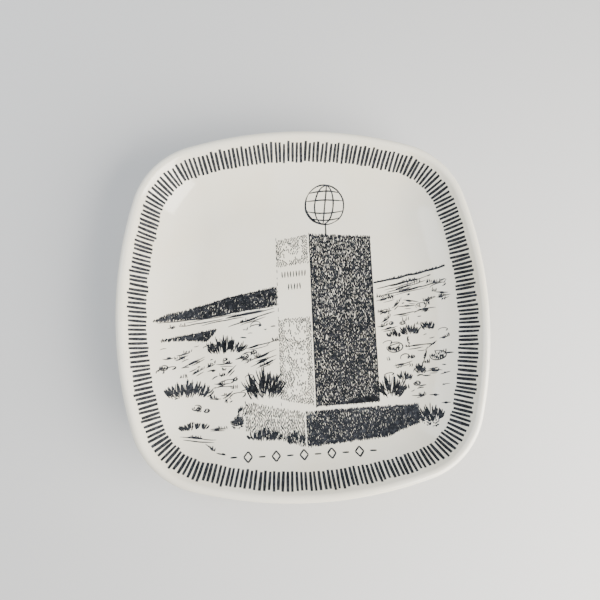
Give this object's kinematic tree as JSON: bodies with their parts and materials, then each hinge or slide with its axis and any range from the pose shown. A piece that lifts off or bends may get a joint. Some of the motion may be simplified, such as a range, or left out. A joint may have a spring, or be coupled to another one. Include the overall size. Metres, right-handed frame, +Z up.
{
  "type": "souvenir plate",
  "caption": "Square glazed souvenir dish with bowed sides, a foot ring, a pen-stroke border and a pen-and-ink landscape.",
  "frame": {"origin": "middle of the plate, on the surface that its foot stands on", "axes": "+Z up out of the dish, +Y towards the top of the picture, +X towards the picture's right"},
  "size_m": [0.17, 0.17, 0.026],
  "materials": {
    "biscuit": "bare fired earthenware",
    "glaze": "glossy off-white glaze",
    "ink": "fired black ink",
    "ink_dense": "dense fired pen hatching",
    "ink_light": "open fired pen stippling"
  },
  "bodies": {
    "root": {"biscuit_body": "biscuit", "foot_sides": "biscuit", "foot_corners": "biscuit", "face_glaze": "glaze", "base_glaze": "glaze", "border_strokes": "ink", "globe_wires": "ink", "globe_stem": "ink", "pillar_dark_face": "ink_dense", "pillar_light_face": "ink_light", "panel_ticks": "ink", "plinth_dark_face": "ink_dense", "plinth_light_face": "ink_light", "distant_hill": "ink_dense", "horizon_line": "ink", "ground_lines": "ink", "grass_tufts": "ink_dense", "stones": "ink_light", "ornament_row": "ink"}
  },
  "joints": []
}
